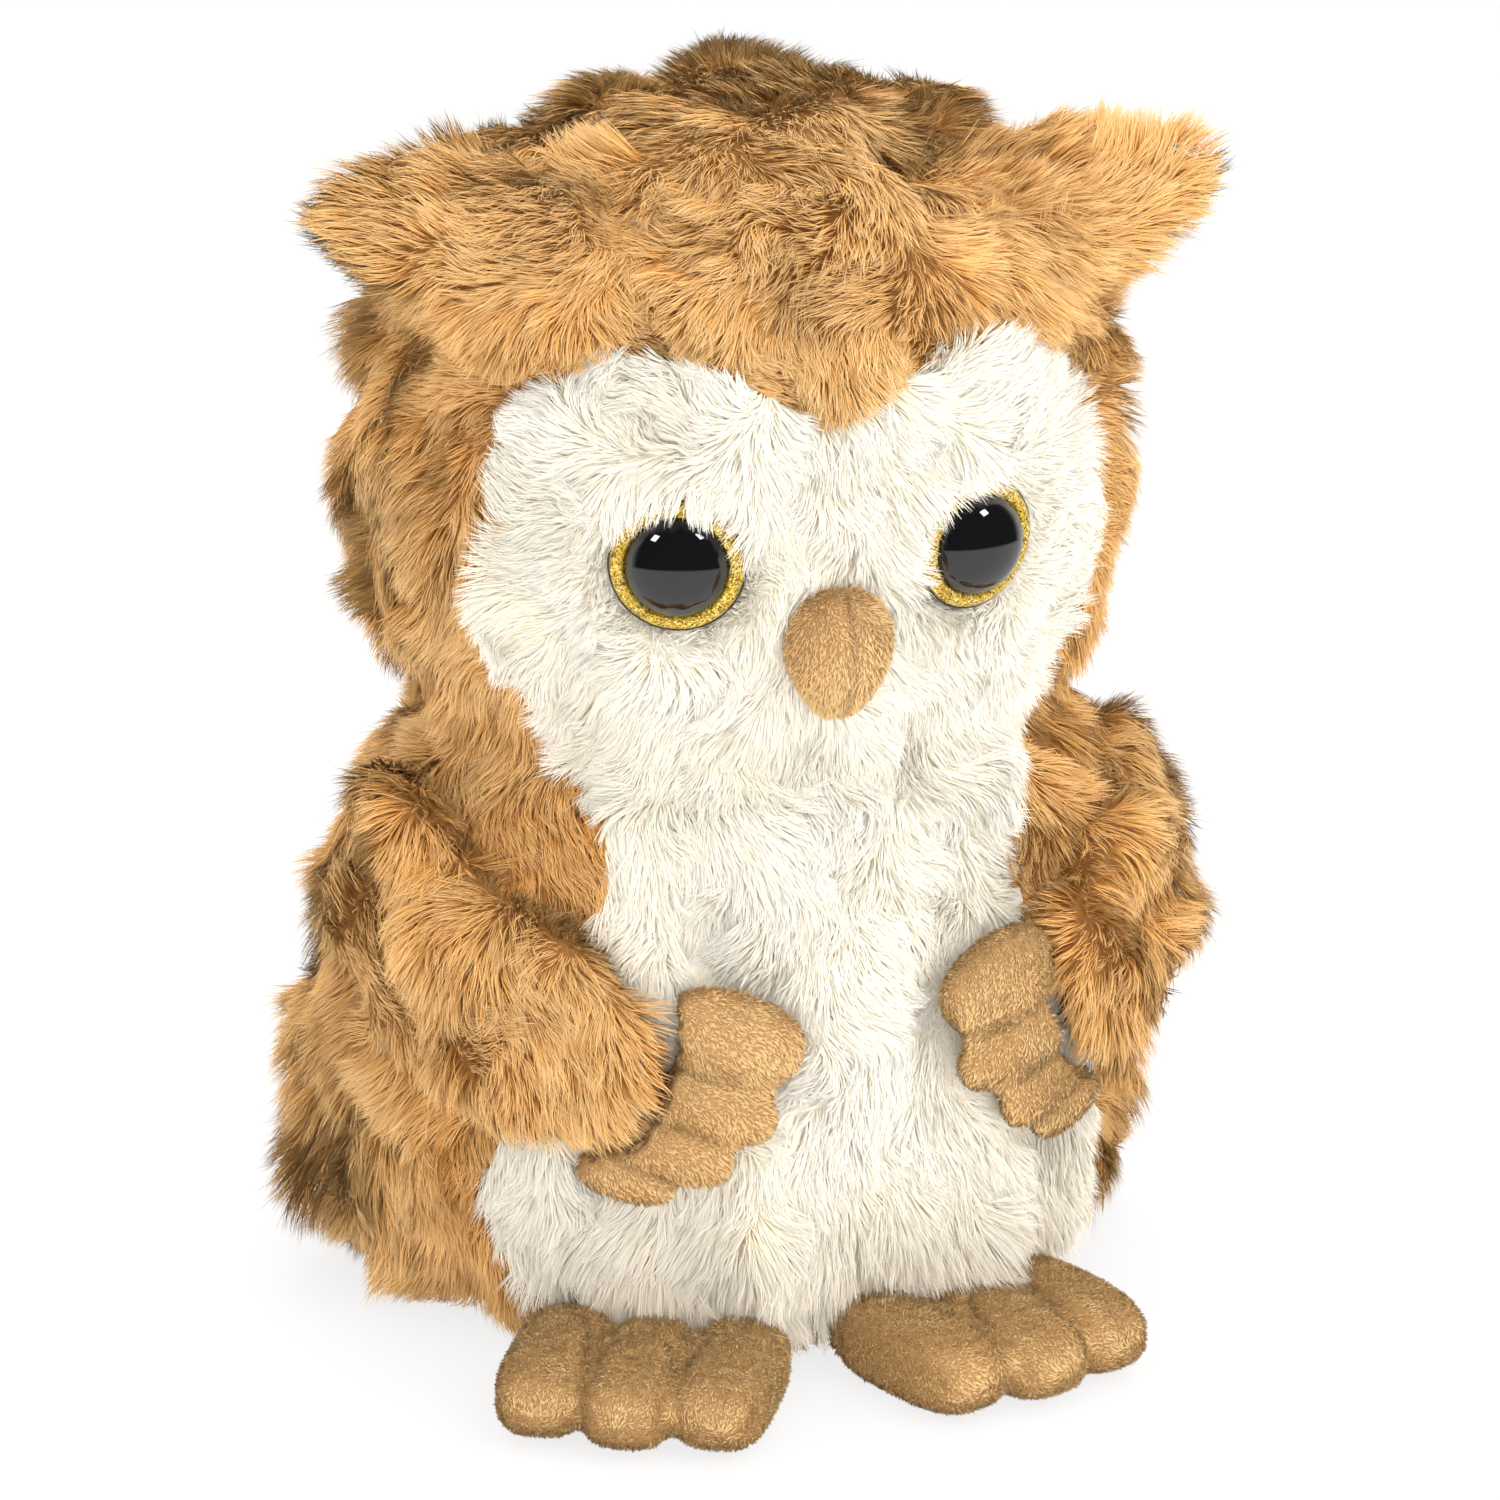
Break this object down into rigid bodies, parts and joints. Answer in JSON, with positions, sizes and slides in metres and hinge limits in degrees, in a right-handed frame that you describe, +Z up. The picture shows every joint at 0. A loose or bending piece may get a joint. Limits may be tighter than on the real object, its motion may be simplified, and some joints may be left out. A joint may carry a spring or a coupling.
{
  "type": "plush owl",
  "caption": "Sitting plush owl with domed eyes, ear tufts, arms folded on a pale belly and toed feet; its head turns and its limbs swing.",
  "frame": {"origin": "on the floor under the middle of the neck, on the base panel's flat underside", "axes": "+Z up; the owl faces -Y; its left side is at +X"},
  "size_m": [0.1685, 0.1743, 0.233],
  "materials": {
    "brown_plush": "long brown plush pile, golden at the tips and dark at the roots",
    "white_plush": "long cream white plush pile",
    "tan_plush": "short tan plush pile",
    "fibre": "loose white polyester fibre",
    "pouch_cloth": "plain cloth pouch of plastic pellets",
    "black_dome": "glossy black dome",
    "gold_glitter": "clear plastic over gold glitter",
    "washer_nylon": "plain white nylon"
  },
  "bodies": {
    "torso": {"body_skin": "brown_plush", "belly_panel": "white_plush", "base_panel": "tan_plush", "body_stuffing": "fibre", "pellet_pouch": "pouch_cloth"},
    "head": {"head_skin": "brown_plush", "face_panel": "white_plush", "head_stuffing": "fibre", "beak": "tan_plush", "eye_dome_left": "black_dome", "eye_dome_right": "black_dome", "eye_ring_left": "gold_glitter", "eye_ring_right": "gold_glitter", "eye_washer_left": "washer_nylon", "eye_washer_right": "washer_nylon"},
    "ear_tuft_left": {"ear_left": "brown_plush"},
    "ear_tuft_right": {"ear_right": "brown_plush"},
    "arm_left": {"arm_sleeve_left": "brown_plush", "arm_stuffing_left": "fibre", "hand_left": "tan_plush"},
    "arm_right": {"arm_sleeve_right": "brown_plush", "arm_stuffing_right": "fibre", "hand_right": "tan_plush"},
    "toes_left": {"foot_left": "tan_plush", "foot_stuffing_left": "fibre"},
    "toes_right": {"foot_right": "tan_plush", "foot_stuffing_right": "fibre"}
  },
  "joints": [
    {"name": "neck_turn", "type": "hinge", "parent": "torso", "child": "head", "pos_m": [0, 0, 0.113], "axis": [0, 0, 1], "range_deg": [-25, 25], "stiffness_Nm_per_rad": 0.15},
    {"name": "ear_left_lift", "type": "hinge", "parent": "head", "child": "ear_tuft_left", "pos_m": [0.0407, -0.0274, 0.217], "axis": [0, -0.8988, -0.4384], "range_deg": [0, 40], "stiffness_Nm_per_rad": 0.03},
    {"name": "ear_right_lift", "type": "hinge", "parent": "head", "child": "ear_tuft_right", "pos_m": [-0.0407, -0.0274, 0.217], "axis": [0, 0.8988, 0.4384], "range_deg": [0, 40], "stiffness_Nm_per_rad": 0.03},
    {"name": "arm_left_swing", "type": "hinge", "parent": "torso", "child": "arm_left", "pos_m": [0.0606, 0.026, 0.0994], "axis": [0, 0, 1], "range_deg": [0, 70], "stiffness_Nm_per_rad": 0.05},
    {"name": "arm_right_swing", "type": "hinge", "parent": "torso", "child": "arm_right", "pos_m": [-0.0606, 0.026, 0.0994], "axis": [0, 0, -1], "range_deg": [0, 70], "stiffness_Nm_per_rad": 0.05},
    {"name": "foot_left_lift", "type": "hinge", "parent": "torso", "child": "toes_left", "pos_m": [0.0253, -0.0531, 0.017], "axis": [-0.9397, -0.342, 0], "range_deg": [0, 20], "stiffness_Nm_per_rad": 0.05},
    {"name": "foot_right_lift", "type": "hinge", "parent": "torso", "child": "toes_right", "pos_m": [-0.029, -0.0517, 0.017], "axis": [-0.891, 0.454, 0], "range_deg": [0, 20], "stiffness_Nm_per_rad": 0.05}
  ]
}
